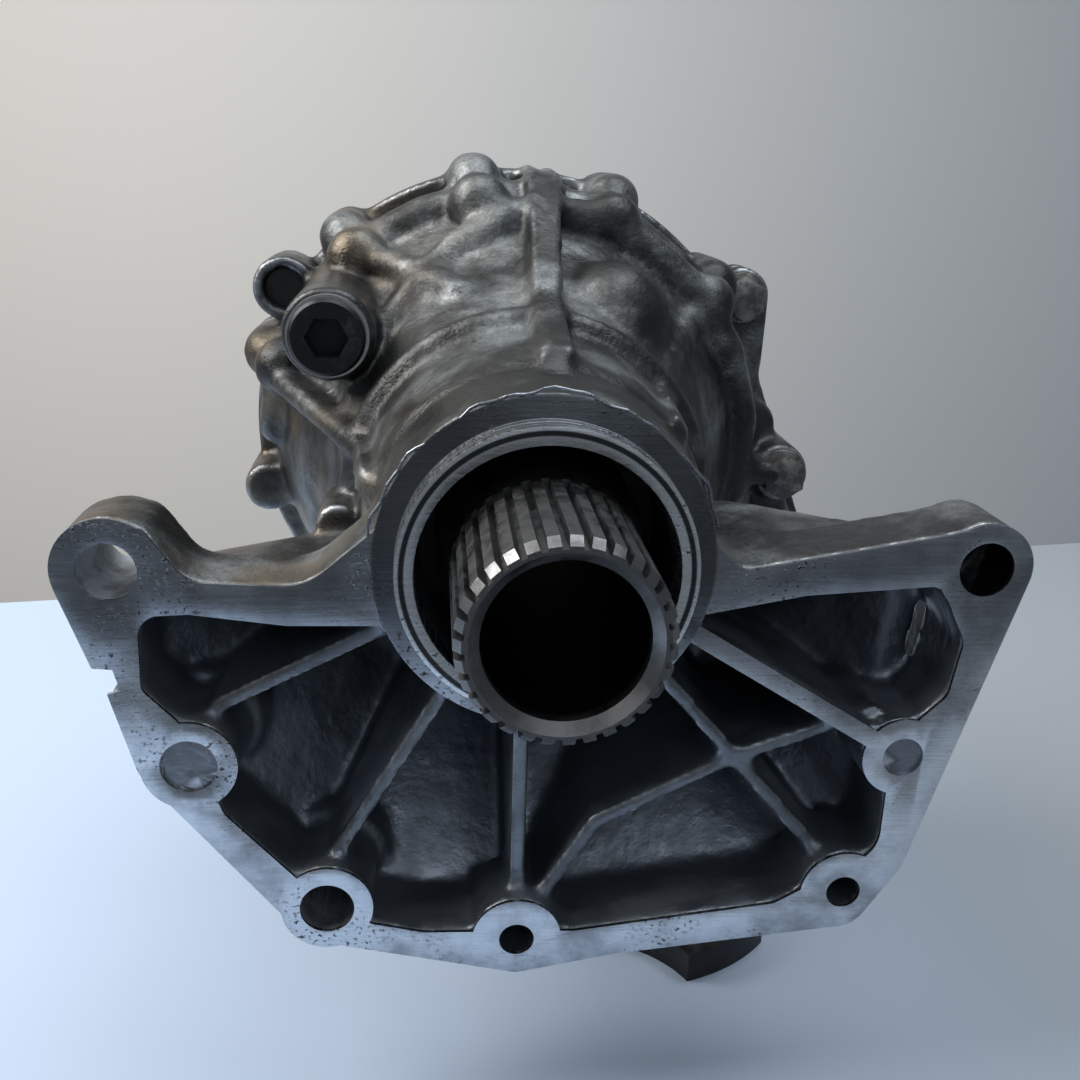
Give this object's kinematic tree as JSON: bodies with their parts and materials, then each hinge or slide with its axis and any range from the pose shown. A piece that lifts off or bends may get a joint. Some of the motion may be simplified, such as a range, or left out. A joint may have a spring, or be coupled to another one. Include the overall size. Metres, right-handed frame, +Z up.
{
  "type": "angle-drive transfer unit",
  "caption": "Angle-drive transfer unit with ribbed mounting flange, hollow splined input shaft, ring gear and pinion, and a companion flange pointing down.",
  "frame": {"origin": "input shaft axis at the face of the mounting flange", "axes": "+Y along the input shaft into the housing, +X right and +Z up as seen from the gearbox"},
  "size_m": [0.2193, 0.2274, 0.236],
  "materials": {
    "cast_aluminium": "satin",
    "zinc_plated_steel": "satin",
    "plain_steel": "satin",
    "black_rubber": "matte",
    "hardened_steel": "satin",
    "bearing_steel": "gloss",
    "pressed_steel": "satin",
    "black_steel": "satin",
    "soft_aluminium": "satin",
    "magnet": "matte",
    "brass": "satin"
  },
  "bodies": {
    "root": {"main_case": "cast_aluminium", "rear_cover": "cast_aluminium", "cover_bolts": "zinc_plated_steel", "cover_dowels": "plain_steel", "pilot_o_ring": "black_rubber", "input_seal": "black_rubber", "rear_seal": "black_rubber", "pinion_seal": "black_rubber", "front_shim": "plain_steel", "rear_shim": "plain_steel", "pinion_shim": "plain_steel", "front_bearing_cup": "bearing_steel", "rear_bearing_cup": "bearing_steel", "pinion_head_bearing_cup": "bearing_steel", "pinion_tail_bearing_cup": "bearing_steel", "fill_plug": "black_steel", "fill_plug_washer": "soft_aluminium", "drain_plug": "black_steel", "drain_plug_washer": "soft_aluminium", "drain_magnet": "magnet", "breather": "brass"},
    "ring_shaft": {"input_shaft": "hardened_steel", "ring_gear": "hardened_steel", "ring_gear_bolts": "zinc_plated_steel", "front_bearing_cone": "bearing_steel", "rear_bearing_cone": "bearing_steel"},
    "pinion_shaft": {"drive_pinion": "hardened_steel", "crush_sleeve": "plain_steel", "companion_flange": "black_steel", "dust_shield": "pressed_steel", "pinion_washer": "plain_steel", "pinion_nut": "plain_steel", "pinion_head_bearing_cone": "bearing_steel", "pinion_tail_bearing_cone": "bearing_steel"},
    "front_bearing_rolling_set": {"front_bearing_rollers": "bearing_steel", "front_bearing_cage": "pressed_steel"},
    "rear_bearing_rolling_set": {"rear_bearing_rollers": "bearing_steel", "rear_bearing_cage": "pressed_steel"},
    "pinion_head_bearing_rolling_set": {"pinion_head_bearing_rollers": "bearing_steel", "pinion_head_bearing_cage": "pressed_steel"},
    "pinion_tail_bearing_rolling_set": {"pinion_tail_bearing_rollers": "bearing_steel", "pinion_tail_bearing_cage": "pressed_steel"}
  },
  "joints": [
    {"name": "input_shaft_spin", "type": "hinge", "parent": "root", "child": "ring_shaft", "pos_m": [0, 0, 0], "axis": [0, 1, 0], "continuous": true},
    {"name": "pinion_spin", "type": "hinge", "parent": "root", "child": "pinion_shaft", "pos_m": [0.036, 0.102, -0.1], "axis": [0, 0, 1], "continuous": true},
    {"name": "front_bearing_roll", "type": "hinge", "parent": "root", "child": "front_bearing_rolling_set", "pos_m": [0, 0.056, 0], "axis": [0, 1, 0], "continuous": true},
    {"name": "rear_bearing_roll", "type": "hinge", "parent": "root", "child": "rear_bearing_rolling_set", "pos_m": [0, 0.16, 0], "axis": [0, 1, 0], "continuous": true},
    {"name": "pinion_head_bearing_roll", "type": "hinge", "parent": "root", "child": "pinion_head_bearing_rolling_set", "pos_m": [0.036, 0.102, -0.068], "axis": [0, 0, 1], "continuous": true},
    {"name": "pinion_tail_bearing_roll", "type": "hinge", "parent": "root", "child": "pinion_tail_bearing_rolling_set", "pos_m": [0.036, 0.102, -0.108], "axis": [0, 0, 1], "continuous": true}
  ],
  "couplings": [
    {"joint": "pinion_spin", "follows": "input_shaft_spin", "ratio": 2.5385},
    {"joint": "front_bearing_roll", "follows": "input_shaft_spin", "ratio": 0.44},
    {"joint": "rear_bearing_roll", "follows": "input_shaft_spin", "ratio": 0.44},
    {"joint": "pinion_head_bearing_roll", "follows": "input_shaft_spin", "ratio": 1.1169},
    {"joint": "pinion_tail_bearing_roll", "follows": "input_shaft_spin", "ratio": 1.1169}
  ]
}
